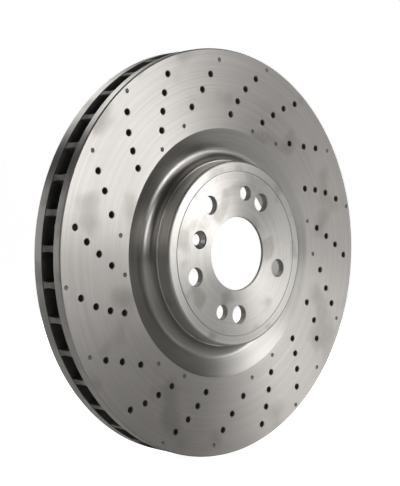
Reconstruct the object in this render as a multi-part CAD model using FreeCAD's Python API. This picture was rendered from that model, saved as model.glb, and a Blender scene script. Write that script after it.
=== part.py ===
import FreeCAD, Part
import math
import os

# Ventilated and cross-drilled brake disc, one iron casting in named regions.
# The disc spins about Y. The hat, where the wheel bolts on, points to -Y (outboard),
# the wheel hub sits on the +Y side of the mounting flange, and Z is up.
# The origin is on the axis, in the plane where the flange seats on the hub.
# Lengths are in millimetres. Angles are in degrees, seen from the outboard side,
# from +X towards +Z.

# Rings
OUTER_RADIUS = 187.5
DISC_THICKNESS = 36.0
OUTBOARD_PLATE = 9.0
INBOARD_PLATE = 11.0
RIM_CHAMFER = 1.0
VENT_EDGE_CHAMFER = 0.4
OUTBOARD_FACE_INNER_RADIUS = 115.0
INBOARD_FACE_INNER_RADIUS = 112.0
INLET_EDGE_RADIUS = 3.0

# Hat
HAT_HEIGHT = 17.5
HAT_RADIUS = 84.8
HAT_WALL = 7.0
HAT_EDGE_RADIUS = 2.0
HAT_CORNER_RADIUS = 3.0
FACE_GROOVE_WIDTH = 0.8
FACE_GROOVE_DEPTH = 0.5

# Mounting flange
FLANGE_RADIUS = HAT_RADIUS - HAT_WALL - HAT_CORNER_RADIUS
FLANGE_THICKNESS = 6.0
BORE_RADIUS = 33.5
BORE_LAND = 2.0
BORE_EDGE_CHAMFER = 0.4
BORE_LEAD_IN = 4.0
BOLT_COUNT = 5
BOLT_CIRCLE_RADIUS = 56.0
BOLT_HOLE_RADIUS = 8.3
BOLT_HOLE_CHAMFER = 0.4
FIRST_BOLT_ANGLE = -14.5
RELIEF_HOLE_RADIUS = 6.7
RELIEF_HOLE_OFFSET = 95.0
SCREW_CIRCLE_RADIUS = 49.5
SCREW_HOLE_RADIUS = 5.0
SCREW_HEAD_RADIUS = 8.3
SCREW_HEAD_DEPTH = 1.6
SCREW_LAND = 1.8

# Neck and relief groove between the hat and the outboard plate
NECK_LEDGE_WIDTH = 1.2
NECK_LEDGE_HEIGHT = 3.0
GROOVE_DEPTH = 7.6
GROOVE_ARC_RADIUS = 9.0
NECK_THICKNESS = 9.4
NECK_INNER_CHAMFER = 2.5
NECK_SLOPE_START_RADIUS = 100.0

# Cooling vanes
VANE_COUNT = 39
FIRST_VANE_ANGLE = 3.35
VANE_FLARE = 6.8
VANE_WAIST = 5.2
VANE_INNER_RADIUS = 116.0
VANE_TIP_RADIUS = 187.0

# Drilling of the friction faces
DRILL_RADIUS = 2.75
DRILL_CHAMFER = 0.5
DIMPLE_RADIUS = 2.1
DIMPLE_WALL = 0.8
DIMPLE_DEPTH = 2.0
SECTOR_COUNT = 6
SECTOR_ANGLE = 360.0 * 9.0 / 56.0
# Each row runs outwards and bends back. Its places listed as blind get a dimple only.
ROWS = (
    dict(radius=120.0, step=13.4, angles=(15.0, 10.6, 6.4, 2.8, -0.9), blind=(0,)),
    dict(radius=128.6, step=13.5, angles=(29.5, 26.1, 22.8, 18.8, 15.0), blind=(4,)),
    dict(radius=125.0, step=13.1, angles=(-0.8, -7.4, -14.0, -18.5, -22.5), blind=(0, 4)),
)
# The sectors leave one gap, which holds a short row: radius and angle of each hole.
GAP_HOLES = ((127.7, -23.0), (145.8, -27.9), (159.3, -33.1))
GAP_DIMPLE = (177.4, -40.9)

# Planes across the axis, worked out from the sizes above
HUB_PLANE = 0.0
WHEEL_PLANE = HUB_PLANE - FLANGE_THICKNESS
OUTBOARD_FACE = WHEEL_PLANE + HAT_HEIGHT
VENT_START = OUTBOARD_FACE + OUTBOARD_PLATE
INBOARD_FACE = OUTBOARD_FACE + DISC_THICKNESS
VENT_END = INBOARD_FACE - INBOARD_PLATE
LEDGE_PLANE = OUTBOARD_FACE - NECK_LEDGE_HEIGHT
GROOVE_FLOOR = OUTBOARD_FACE + GROOVE_DEPTH
NECK_INBOARD = GROOVE_FLOOR + NECK_THICKNESS
HAT_INNER_RADIUS = HAT_RADIUS - HAT_WALL

CENTRE = FreeCAD.Vector(0, 0, 0)
INBOARD = FreeCAD.Vector(0, 1, 0)
OUTBOARD = FreeCAD.Vector(0, -1, 0)
CLEAR = 1.0


def section_point(radius, y):
    """Point of a section that is turned about the disc's axis."""
    return FreeCAD.Vector(radius, y, 0)


def line(start, end):
    return Part.LineSegment(section_point(*start), section_point(*end)).toShape()


def arc(start, middle, end):
    points = [section_point(*place) for place in (start, middle, end)]
    return Part.Arc(*points).toShape()


def chain(corners):
    """Straight edges from each corner to the next."""
    return [line(start, end) for start, end in zip(corners, corners[1:])]


def turned(edges):
    """Solid made by turning a closed section a full turn about the axis."""
    face = Part.Face(Part.Wire(edges))
    return face.revolve(CENTRE, INBOARD, 360)


def turned_polygon(corners):
    return turned(chain(corners + [corners[0]]))


def moved_out(shape, radius, angle):
    """Copy of a shape made on the axis, set at a radius and an angle."""
    copy = shape.copy()
    copy.translate(FreeCAD.Vector(radius, 0, 0))
    copy.rotate(CENTRE, OUTBOARD, angle)
    return copy


def row_places():
    """Radius, angle and kind of every place in the drilled rows."""
    places = []
    for sector in range(SECTOR_COUNT):
        for row in ROWS:
            for index, angle in enumerate(row["angles"]):
                radius = row["radius"] + row["step"] * index
                turned_angle = angle + SECTOR_ANGLE * sector
                places.append((radius, turned_angle, index in row["blind"]))
    return places


def drilled_places():
    holes = [(radius, angle) for radius, angle, blind in row_places() if not blind]
    return holes + list(GAP_HOLES)


def dimple_places():
    dimples = [(radius, angle) for radius, angle, blind in row_places() if blind]
    return dimples + [GAP_DIMPLE]


def drill_tool():
    """Straight drill through both plates, countersunk a little at both faces."""
    wide = DRILL_RADIUS + DRILL_CHAMFER + CLEAR
    return turned_polygon([
        (0, OUTBOARD_FACE - CLEAR),
        (wide, OUTBOARD_FACE - CLEAR),
        (DRILL_RADIUS, OUTBOARD_FACE + DRILL_CHAMFER),
        (DRILL_RADIUS, INBOARD_FACE - DRILL_CHAMFER),
        (wide, INBOARD_FACE + CLEAR),
        (0, INBOARD_FACE + CLEAR),
    ])


def dimple_tool(face, into):
    """Short drill point that leaves a shallow blind hole in a friction face."""
    return turned_polygon([
        (0, face - into * CLEAR),
        (DIMPLE_RADIUS, face - into * CLEAR),
        (DIMPLE_RADIUS, face + into * DIMPLE_WALL),
        (0, face + into * DIMPLE_DEPTH),
    ])


def plate_tools(face, into):
    """Every tool that cuts a friction plate."""
    drills = [moved_out(drill_tool(), *place) for place in drilled_places()]
    dimple = dimple_tool(face, into)
    return drills + [moved_out(dimple, *place) for place in dimple_places()]


def outboard_friction_ring():
    plate = turned_polygon([
        (OUTBOARD_FACE_INNER_RADIUS, OUTBOARD_FACE),
        (OUTER_RADIUS - RIM_CHAMFER, OUTBOARD_FACE),
        (OUTER_RADIUS, OUTBOARD_FACE + RIM_CHAMFER),
        (OUTER_RADIUS, VENT_START - VENT_EDGE_CHAMFER),
        (OUTER_RADIUS - VENT_EDGE_CHAMFER, VENT_START),
        (OUTBOARD_FACE_INNER_RADIUS, VENT_START),
    ])
    return plate.cut(plate_tools(OUTBOARD_FACE, 1))


def inboard_friction_ring():
    inlet_top = (INBOARD_FACE_INNER_RADIUS + INLET_EDGE_RADIUS, VENT_END)
    inlet_foot = (INBOARD_FACE_INNER_RADIUS, VENT_END + INLET_EDGE_RADIUS)
    bulge = INLET_EDGE_RADIUS * (1 - math.sqrt(0.5))
    inlet_middle = (INBOARD_FACE_INNER_RADIUS + bulge, VENT_END + bulge)
    edges = [arc(inlet_foot, inlet_middle, inlet_top)]
    edges += chain([
        inlet_top,
        (OUTER_RADIUS - VENT_EDGE_CHAMFER, VENT_END),
        (OUTER_RADIUS, VENT_END + VENT_EDGE_CHAMFER),
        (OUTER_RADIUS, INBOARD_FACE - RIM_CHAMFER),
        (OUTER_RADIUS - RIM_CHAMFER, INBOARD_FACE),
        (INBOARD_FACE_INNER_RADIUS + RIM_CHAMFER, INBOARD_FACE),
        (INBOARD_FACE_INNER_RADIUS, INBOARD_FACE - RIM_CHAMFER),
        inlet_foot,
    ])
    return turned(edges).cut(plate_tools(INBOARD_FACE, -1))


def hat_neck():
    """Ring behind the relief groove, which carries the outboard plate on the hat."""
    wall_radius = HAT_RADIUS + NECK_LEDGE_WIDTH
    arc_centre_radius = wall_radius + GROOVE_ARC_RADIUS
    arc_centre_y = GROOVE_FLOOR - GROOVE_ARC_RADIUS
    # The bevel leaves the edge of the friction face and is tangent to the groove's arc.
    across = OUTBOARD_FACE_INNER_RADIUS - arc_centre_radius
    along = OUTBOARD_FACE - arc_centre_y
    reach = math.hypot(across, along)
    bevel_angle = math.asin(GROOVE_ARC_RADIUS / reach) - math.atan2(along, across)
    bevel_foot = (
        arc_centre_radius + GROOVE_ARC_RADIUS * math.sin(bevel_angle),
        arc_centre_y + GROOVE_ARC_RADIUS * math.cos(bevel_angle),
    )
    turn = math.radians(45)
    arc_middle = (
        arc_centre_radius - GROOVE_ARC_RADIUS * math.sin(turn),
        arc_centre_y + GROOVE_ARC_RADIUS * math.cos(turn),
    )
    wall_foot = (wall_radius, arc_centre_y)
    face_edge = (OUTBOARD_FACE_INNER_RADIUS, OUTBOARD_FACE)
    edges = [line(face_edge, bevel_foot), arc(bevel_foot, arc_middle, wall_foot)]
    edges += chain([
        wall_foot,
        (wall_radius, LEDGE_PLANE),
        (HAT_INNER_RADIUS, LEDGE_PLANE),
        (HAT_INNER_RADIUS, NECK_INBOARD - NECK_INNER_CHAMFER),
        (HAT_INNER_RADIUS + NECK_INNER_CHAMFER, NECK_INBOARD),
        (NECK_SLOPE_START_RADIUS, NECK_INBOARD),
        (OUTBOARD_FACE_INNER_RADIUS, VENT_START),
        face_edge,
    ])
    return turned(edges)


def hat_wall():
    """Short drum between the flange and the neck, rounded at its outer and inner corner."""
    corner_start = (HAT_INNER_RADIUS, HUB_PLANE + HAT_CORNER_RADIUS)
    corner_end = (FLANGE_RADIUS, HUB_PLANE)
    reach = HAT_CORNER_RADIUS * math.sqrt(0.5)
    corner_middle = (FLANGE_RADIUS + reach, HUB_PLANE + HAT_CORNER_RADIUS - reach)
    edge_start = (HAT_RADIUS - HAT_EDGE_RADIUS, WHEEL_PLANE)
    edge_end = (HAT_RADIUS, WHEEL_PLANE + HAT_EDGE_RADIUS)
    bulge = HAT_EDGE_RADIUS * (1 - math.sqrt(0.5))
    edge_middle = (HAT_RADIUS - bulge, WHEEL_PLANE + bulge)
    edges = [arc(corner_start, corner_middle, corner_end)]
    edges += chain([
        corner_end,
        (FLANGE_RADIUS, WHEEL_PLANE + FACE_GROOVE_DEPTH),
        (FLANGE_RADIUS + FACE_GROOVE_WIDTH, WHEEL_PLANE + FACE_GROOVE_DEPTH),
        (FLANGE_RADIUS + FACE_GROOVE_WIDTH, WHEEL_PLANE),
        edge_start,
    ])
    edges += [arc(edge_start, edge_middle, edge_end)]
    edges += chain([
        edge_end,
        (HAT_RADIUS, LEDGE_PLANE),
        (HAT_INNER_RADIUS, LEDGE_PLANE),
        corner_start,
    ])
    return turned(edges)


def plain_hole(radius, chamfer):
    """Through hole in the flange with a small chamfer on the wheel side."""
    wide = radius + chamfer + CLEAR
    return turned_polygon([
        (0, WHEEL_PLANE - CLEAR),
        (wide, WHEEL_PLANE - CLEAR),
        (radius, WHEEL_PLANE + chamfer),
        (radius, HUB_PLANE + CLEAR),
        (0, HUB_PLANE + CLEAR),
    ])


def locating_screw_hole():
    """Sunk seat for the screw that holds the disc on the hub until the wheel is on."""
    return turned_polygon([
        (0, WHEEL_PLANE - CLEAR),
        (SCREW_HEAD_RADIUS, WHEEL_PLANE - CLEAR),
        (SCREW_HEAD_RADIUS, WHEEL_PLANE + SCREW_HEAD_DEPTH),
        (SCREW_HOLE_RADIUS, HUB_PLANE - SCREW_LAND),
        (SCREW_HOLE_RADIUS, HUB_PLANE + CLEAR),
        (0, HUB_PLANE + CLEAR),
    ])


def flange_tools():
    bolt_hole = plain_hole(BOLT_HOLE_RADIUS, BOLT_HOLE_CHAMFER)
    relief_hole = plain_hole(RELIEF_HOLE_RADIUS, BOLT_HOLE_CHAMFER)
    tools = []
    for index in range(BOLT_COUNT):
        angle = FIRST_BOLT_ANGLE + 360.0 / BOLT_COUNT * index
        tools.append(moved_out(bolt_hole, BOLT_CIRCLE_RADIUS, angle))
    for side in (-1, 1):
        angle = FIRST_BOLT_ANGLE + side * RELIEF_HOLE_OFFSET
        tools.append(moved_out(relief_hole, BOLT_CIRCLE_RADIUS, angle))
    screw_angle = FIRST_BOLT_ANGLE + 180.0
    tools.append(moved_out(locating_screw_hole(), SCREW_CIRCLE_RADIUS, screw_angle))
    return tools


def mounting_flange():
    """Flat disc clamped between hub and wheel, with the centring bore."""
    land_start = WHEEL_PLANE + BORE_EDGE_CHAMFER
    plate = turned_polygon([
        (BORE_RADIUS + BORE_EDGE_CHAMFER, WHEEL_PLANE),
        (FLANGE_RADIUS, WHEEL_PLANE),
        (FLANGE_RADIUS, HUB_PLANE),
        (BORE_RADIUS + BORE_LEAD_IN, HUB_PLANE),
        (BORE_RADIUS, land_start + BORE_LAND),
        (BORE_RADIUS, land_start),
    ])
    return plate.cut(flange_tools())


def vane_section():
    """Waisted section of a vane, across the vent from plate to plate."""
    middle = (VENT_START + VENT_END) / 2
    corners = {}
    for side in (-1, 1):
        top = FreeCAD.Vector(0, VENT_START, side * VANE_FLARE / 2)
        waist = FreeCAD.Vector(0, middle, side * VANE_WAIST / 2)
        foot = FreeCAD.Vector(0, VENT_END, side * VANE_FLARE / 2)
        corners[side] = (top, waist, foot)
    left, right = corners[-1], corners[1]
    edges = [
        Part.Arc(*left).toShape(),
        Part.LineSegment(left[2], right[2]).toShape(),
        Part.Arc(*reversed(right)).toShape(),
        Part.LineSegment(right[0], left[0]).toShape(),
    ]
    return Part.Face(Part.Wire(edges))


def vane_blank():
    """Straight radial vane on +X, with a round nose and a tip that follows the rim."""
    length = OUTER_RADIUS - VANE_INNER_RADIUS + CLEAR
    bar = vane_section()
    bar.translate(FreeCAD.Vector(VANE_INNER_RADIUS, 0, 0))
    bar = bar.extrude(FreeCAD.Vector(length, 0, 0))
    depth = VENT_END - VENT_START
    nose_radius = VANE_FLARE / 2
    nose_centre = FreeCAD.Vector(VANE_INNER_RADIUS + nose_radius, VENT_START, 0)
    nose = Part.makeCylinder(nose_radius, depth, nose_centre, INBOARD)
    corner = nose_centre - FreeCAD.Vector(0, 0, nose_radius)
    body = Part.makeBox(length, depth, VANE_FLARE, corner)
    plan = nose.fuse(body).removeSplitter()
    rim = Part.makeCylinder(VANE_TIP_RADIUS, depth, FreeCAD.Vector(0, VENT_START, 0), INBOARD)
    return bar.common(plan).common(rim)


def cooling_vane(blank, angle):
    """Vane at an angle, cut wherever a drilled hole passes through it."""
    vane = blank.copy()
    vane.rotate(CENTRE, OUTBOARD, angle)
    reach = VANE_FLARE / 2 + DRILL_RADIUS
    drill = drill_tool()
    for radius, hole_angle in drilled_places():
        turn = math.radians(hole_angle - angle)
        beside = abs(math.sin(turn)) * radius < reach
        if beside and math.cos(turn) > 0:
            vane = vane.cut(moved_out(drill, radius, hole_angle))
    return vane


def write(node, shape):
    if not shape.isValid():
        raise RuntimeError(node + " is not a valid shape")
    for number, solid in enumerate(shape.Solids, start=1):
        print(node, "solid", number, "volume", round(solid.Volume, 1))
    solids = shape.Solids
    result = solids[0] if len(solids) == 1 else Part.makeCompound(solids)
    result.exportStep(os.path.join("parts", node + ".step"))


os.makedirs("parts", exist_ok=True)
write("mounting_flange", mounting_flange())
write("hat_wall", hat_wall())
write("hat_neck", hat_neck())
write("outboard_friction_ring", outboard_friction_ring())
write("inboard_friction_ring", inboard_friction_ring())
VANE_BLANK = vane_blank()
for index in range(VANE_COUNT):
    vane_angle = FIRST_VANE_ANGLE + 360.0 / VANE_COUNT * index
    write("cooling_vane_%02d" % (index + 1), cooling_vane(VANE_BLANK, vane_angle))
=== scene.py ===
"""Ventilated and cross-drilled brake disc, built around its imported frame."""

import math

import bmesh
import bpy
from bpy.props import (
    FloatProperty,
    FloatVectorProperty,
    IntProperty,
    PointerProperty,
)
from mathutils import Matrix, Quaternion, Vector
from mathutils.geometry import delaunay_2d_cdt


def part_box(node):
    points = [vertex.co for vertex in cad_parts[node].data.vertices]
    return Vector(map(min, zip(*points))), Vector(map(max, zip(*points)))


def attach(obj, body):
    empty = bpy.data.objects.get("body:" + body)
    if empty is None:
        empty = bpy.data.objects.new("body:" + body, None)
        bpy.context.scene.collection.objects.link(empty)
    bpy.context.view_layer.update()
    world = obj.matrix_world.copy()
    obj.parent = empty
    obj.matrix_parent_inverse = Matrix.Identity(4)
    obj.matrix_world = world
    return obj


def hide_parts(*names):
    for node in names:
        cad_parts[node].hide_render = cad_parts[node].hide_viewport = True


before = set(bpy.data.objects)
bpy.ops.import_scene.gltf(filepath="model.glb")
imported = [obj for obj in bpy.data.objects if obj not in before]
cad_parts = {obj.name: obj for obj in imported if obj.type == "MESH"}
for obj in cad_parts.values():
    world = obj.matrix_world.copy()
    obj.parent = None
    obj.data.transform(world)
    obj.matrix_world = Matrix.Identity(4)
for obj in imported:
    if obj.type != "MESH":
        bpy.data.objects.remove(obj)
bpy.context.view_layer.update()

bl_info = {
    "name": "Drilled brake disc",
    "version": (1, 0, 0),
    "blender": (4, 5, 0),
    "location": "3D View > Sidebar > Brake disc",
    "description": "Machined rings, hat and cast vanes of a ventilated brake disc",
    "category": "Object",
}

MM = 0.001

# Planes and radii that the frame gives
OUTBOARD_LOW, OUTBOARD_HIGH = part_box("outboard_friction_ring")
INBOARD_LOW, INBOARD_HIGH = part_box("inboard_friction_ring")
FLANGE_LOW, FLANGE_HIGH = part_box("mounting_flange")
HAT_LOW, HAT_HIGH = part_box("hat_wall")
NECK_LOW, NECK_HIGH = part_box("hat_neck")
VANE_NODES = sorted(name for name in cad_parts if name.startswith("cooling_vane"))
OUTER_RADIUS = max(OUTBOARD_HIGH.x, OUTBOARD_HIGH.z, INBOARD_HIGH.x, INBOARD_HIGH.z)
OUTBOARD_FACE = OUTBOARD_LOW.y
VENT_START = OUTBOARD_HIGH.y
VENT_END = INBOARD_LOW.y
INBOARD_FACE = INBOARD_HIGH.y
WHEEL_PLANE = FLANGE_LOW.y
HUB_PLANE = FLANGE_HIGH.y
HAT_RADIUS = max(HAT_HIGH.x, HAT_HIGH.z)
LEDGE_PLANE = HAT_HIGH.y
NECK_INBOARD = NECK_HIGH.y

# Drilled rows: first radius, step outwards, angles in degrees, and the blind places
ROWS = (
    (120.0 * MM, 13.4 * MM, (15.0, 10.6, 6.4, 2.8, -0.9), (0,)),
    (128.6 * MM, 13.5 * MM, (29.5, 26.1, 22.8, 18.8, 15.0), (4,)),
    (125.0 * MM, 13.1 * MM, (-0.8, -7.4, -14.0, -18.5, -22.5), (0, 4)),
)
SECTOR_COUNT = 6
SECTOR_ANGLE = 360.0 * 9.0 / 56.0
GAP_HOLES = ((127.7 * MM, -23.0), (145.8 * MM, -27.9), (159.3 * MM, -33.1))
GAP_DIMPLES = ((177.4 * MM, -40.9),)

# Softboxes: name, bearing and height in degrees as seen from the disc, distance, size and power in watts
SOFTBOXES = (
    ("right_low", 28.0, 3.0, 1.5, 0.45, 2.2),
    ("right_middle", 28.0, 15.0, 1.5, 0.45, 2.1),
    ("right_outer", 38.0, 15.0, 1.5, 0.45, 1.3),
    ("right_high", 28.0, 42.0, 1.5, 0.6, 1.1),
    ("front", -12.0, 13.0, 1.5, 0.5, 3.3),
    ("left_front", -48.0, 12.0, 1.5, 0.5, 0.7),
    ("left_edge", -148.0, 6.0, 1.5, 0.8, 2.4),
    ("back_right", 152.0, 12.0, 1.5, 0.8, 7.0),
    ("back_high", 185.0, 50.0, 1.5, 0.8, 5.0),
)


def length_setting(name, default, description):
    """Size in metres that shows in the scene's length unit."""
    return FloatProperty(
        name=name,
        description=description,
        default=default,
        min=0.0,
        precision=5,
        unit="LENGTH",
    )


def colour_setting(name, default, description):
    return FloatVectorProperty(
        name=name,
        description=description,
        default=default,
        size=3,
        min=0.0,
        max=1.0,
        subtype="COLOR",
    )


def share_setting(name, default, description):
    return FloatProperty(
        name=name,
        description=description,
        default=default,
        min=0.0,
        max=1.0,
        subtype="FACTOR",
    )


class BrakeDiscSizes(bpy.types.PropertyGroup):
    """Sizes of the rings, the hat and the vanes"""

    ring_steps: IntProperty(
        name="Steps round a ring",
        description="Number of flats that make a full turn of a ring",
        default=360,
        min=72,
        max=720,
    )
    bore_steps: IntProperty(
        name="Steps round a hole",
        description="Number of flats that make a full turn of a hole",
        default=36,
        min=12,
        max=96,
    )
    rim_chamfer: length_setting("Rim chamfer", 1.0 * MM, "Chamfer between a friction face and the rim")
    vent_chamfer: length_setting("Vent chamfer", 0.4 * MM, "Chamfer between the rim and the vent")
    soft_edge: length_setting("Soft edge", 0.12 * MM, "Radius left on a machined edge")
    outboard_inner_radius: length_setting("Outboard face inner radius", 115.0 * MM, "Where the outboard friction face ends")
    inboard_inner_radius: length_setting("Inboard face inner radius", 112.0 * MM, "Where the inboard plate ends")
    inlet_radius: length_setting("Inlet edge radius", 3.0 * MM, "Round edge where air enters the vent")
    drill_radius: length_setting("Drill radius", 2.75 * MM, "Radius of a drilled hole")
    drill_chamfer: length_setting("Drill chamfer", 0.5 * MM, "Countersink of a drilled hole")
    dimple_radius: length_setting("Dimple radius", 2.1 * MM, "Radius of a blind dimple")
    dimple_wall: length_setting("Dimple wall", 0.8 * MM, "Depth of a dimple's straight wall")
    dimple_depth: length_setting("Dimple depth", 2.0 * MM, "Depth of a dimple at its point")
    hat_wall: length_setting("Hat wall", 7.0 * MM, "Thickness of the hat's drum")
    hat_edge_radius: length_setting("Hat edge radius", 2.0 * MM, "Rounding of the hat's outer edge")
    hat_corner_radius: length_setting("Hat corner radius", 3.0 * MM, "Rounding inside the hat")
    line_width: length_setting("Face line width", 0.8 * MM, "Width of the fine line turned in the hat face")
    line_depth: length_setting("Face line depth", 0.5 * MM, "Depth of the fine line turned in the hat face")
    bore_radius: length_setting("Bore radius", 33.5 * MM, "Radius of the centring bore")
    bore_land: length_setting("Bore land", 2.0 * MM, "Length of the centring bore")
    bore_chamfer: length_setting("Bore chamfer", 0.4 * MM, "Chamfer of the bore and of the bolt holes")
    bore_lead_in: length_setting("Bore lead-in", 4.0 * MM, "Cone that guides the disc onto the hub")
    bolt_circle: length_setting("Bolt circle radius", 56.0 * MM, "Radius on which the wheel bolts stand")
    bolt_radius: length_setting("Bolt hole radius", 8.3 * MM, "Radius of a wheel bolt hole")
    relief_radius: length_setting("Relief hole radius", 6.7 * MM, "Radius of the two plain holes")
    screw_circle: length_setting("Screw circle radius", 49.5 * MM, "Radius on which the locating screw stands")
    screw_radius: length_setting("Screw hole radius", 5.0 * MM, "Radius of the locating screw's hole")
    screw_head_radius: length_setting("Screw seat radius", 8.3 * MM, "Radius of the sunk seat")
    screw_head_depth: length_setting("Screw seat depth", 1.6 * MM, "Depth of the seat's straight wall")
    screw_land: length_setting("Screw land", 1.8 * MM, "Length of the locating screw's hole")
    ledge_width: length_setting("Ledge width", 1.2 * MM, "Step between the hat and the groove")
    groove_radius: length_setting("Groove radius", 9.0 * MM, "Radius at the floor of the groove")
    groove_depth: length_setting("Groove depth", 7.6 * MM, "Groove floor below the friction face")
    neck_chamfer: length_setting("Neck chamfer", 2.5 * MM, "Chamfer behind the hat")
    neck_slope_start: length_setting("Neck slope start", 100.0 * MM, "Radius where the neck begins to slope")
    vane_inner_radius: length_setting("Vane inner radius", 116.0 * MM, "Where a vane begins")
    vane_tip_radius: length_setting("Vane tip radius", 187.0 * MM, "Where a vane ends")
    vane_flare: length_setting("Vane flare", 6.8 * MM, "Width of a vane at the plates")
    vane_waist: length_setting("Vane waist", 5.2 * MM, "Width of a vane at its middle")
    vane_soft_tip: length_setting("Vane soft tip", 1.0 * MM, "Rounding of a vane's cast tip")
    first_bolt_angle: FloatProperty(
        name="First bolt angle",
        description="Angle of the first wheel bolt hole, in degrees",
        default=-14.5,
    )
    first_vane_angle: FloatProperty(
        name="First vane angle",
        description="Angle of the first vane, in degrees",
        default=3.35,
    )


class BrakeDiscFinish(bpy.types.PropertyGroup):
    """Colours and roughness of the machined and cast surfaces"""

    ground_colour: colour_setting("Ground iron", (0.60, 0.575, 0.55), "Friction faces")
    turned_colour: colour_setting("Turned iron", (0.80, 0.775, 0.74), "Hat and rim")
    groove_colour: colour_setting("Groove iron", (0.42, 0.407, 0.386), "Relief groove")
    # Near black: partly the cast skin's own dark tone, partly painted shade so that the vent channels and vane sides
    # read dark.
    cast_and_vent_shade_colour: colour_setting("Cast iron darkened as vent shade", (0.080, 0.077, 0.072), "Vanes and vent")
    # Lighter than the same vanes' cast iron: painted light on the tip faces, which stand out of the shaded vent.
    painted_lit_tip_colour: colour_setting("Vane tips", (0.30, 0.29, 0.275), "Vane tips, painted lighter than the cast vanes")
    drilled_colour: colour_setting("Drilled iron", (0.32, 0.305, 0.285), "Walls of the holes")
    stain_colour: colour_setting("Stain", (0.33, 0.31, 0.28), "Cloudy stains on the iron")
    floor_colour: colour_setting("Floor", (0.93, 0.93, 0.925), "Studio floor and backdrop")
    stain_amount: share_setting("Stain amount", 0.5, "How far the stains show")
    ground_roughness: share_setting("Ground roughness", 0.39, "Roughness of the friction faces")
    turned_roughness: share_setting("Turned roughness", 0.34, "Roughness of the hat and rim")
    groove_roughness: share_setting("Groove roughness", 0.31, "Roughness of the relief groove")


class BrakeDiscStage(bpy.types.PropertyGroup):
    """Camera, floor and light"""

    camera_place: FloatVectorProperty(
        name="Camera place",
        description="Where the camera stands",
        default=(-0.7240, -0.7160, 0.0245),
        size=3,
        subtype="XYZ",
        unit="LENGTH",
    )
    camera_aim: FloatVectorProperty(
        name="Camera aim",
        description="Direction in which the camera looks",
        default=(0.6896, 0.7240, -0.0152),
        size=3,
        subtype="DIRECTION",
    )
    camera_side: FloatVectorProperty(
        name="Camera side",
        description="Direction of the camera's right-hand side",
        default=(0.7242, -0.6894, 0.0145),
        size=3,
        subtype="DIRECTION",
    )
    lens: FloatProperty(
        name="Lens",
        description="Focal length in millimetres on a 36 mm sensor",
        default=82.27,
    )
    paper_light: FloatProperty(
        name="Paper light",
        description="Even light on the floor and backdrop",
        default=0.93,
        min=0.0,
    )
    fill_light: FloatProperty(
        name="Fill light",
        description="Strength of the even light from all round",
        default=0.02,
        min=0.0,
    )


# ---- Sections and meshes ----


def softened(corners, steps=6, closed=True):
    """Section with rounded corners. A corner is (radius, y, rounding, finish of the edge that follows)."""
    section = []
    count = len(corners)
    for index, (radius, y, rounding, finish) in enumerate(corners):
        here = Vector((radius, y))
        is_end = not closed and index in (0, count - 1)
        if rounding <= 0 or is_end:
            section.append((here, finish))
            continue
        before = Vector(corners[index - 1][:2])
        after = Vector(corners[(index + 1) % count][:2])
        back = (before - here).normalized()
        ahead = (after - here).normalized()
        half = back.angle(ahead) / 2
        reach = rounding / math.tan(half)
        centre = here + (back + ahead).normalized() * (rounding / math.sin(half))
        first = here + back * reach - centre
        last = here + ahead * reach - centre
        sweep = first.angle(last)
        finest = 3 if rounding > 2.5 * MM else 10
        parts = max(steps, math.ceil(math.degrees(sweep) / finest))
        for part in range(parts + 1):
            share = part / parts
            blend = (first * math.sin((1 - share) * sweep) + last * math.sin(share * sweep)) / math.sin(sweep)
            section.append((centre + blend, finish))
    return supported(section, closed)


def supported(section, closed):
    """Adds a point close to both ends of each long straight edge, so that its shading stays flat."""
    near = 0.4 * MM
    points = []
    for index, (here, finish) in enumerate(section):
        if points and (here - points[-1][0]).length < 1e-7:
            points[-1] = (points[-1][0], finish)
            continue
        points.append((here, finish))
        if not closed and index == len(section) - 1:
            continue
        there = section[(index + 1) % len(section)][0]
        along = there - here
        if along.length > 6 * near:
            step = along.normalized() * near
            points.append((here + step, finish))
            points.append((there - step, finish))
    return points


def circle(bm, radius, y, count, centre=(0.0, 0.0)):
    """Ring of vertices round the disc's axis, or round a hole's own centre."""
    ring = []
    for index in range(count):
        turn = 2 * math.pi * index / count
        place = (centre[0] + radius * math.cos(turn), y, centre[1] + radius * math.sin(turn))
        ring.append(bm.verts.new(place))
    return ring


def skin(bm, first, second, finish):
    """Band of faces between two rings."""
    count = len(first)
    for index in range(count):
        after = (index + 1) % count
        face = bm.faces.new((first[index], first[after], second[after], second[index]))
        face.material_index = finish


def turn_section(bm, section, count):
    """Closed ring made by turning a closed section about the axis."""
    rings = [circle(bm, point.x, point.y, count) for point, finish in section]
    for index, (point, finish) in enumerate(section):
        skin(bm, rings[index], rings[(index + 1) % len(rings)], finish)


def turn_edge(bm, section, count, centre=(0.0, 0.0)):
    """Open band turned about the axis or a hole's centre. Gives its first and last ring."""
    tip = section[-1][0].x < 1e-9
    solid = section[:-1] if tip else section
    rings = [circle(bm, point.x, point.y, count, centre) for point, finish in solid]
    for index in range(len(rings) - 1):
        skin(bm, rings[index], rings[index + 1], section[index][1])
    if not tip:
        return rings[0], rings[-1]
    point = bm.verts.new((centre[0], section[-1][0].y, centre[1]))
    for index in range(count):
        face = bm.faces.new((rings[-1][index], rings[-1][(index + 1) % count], point))
        face.material_index = section[-2][1]
    return rings[0], None


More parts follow.
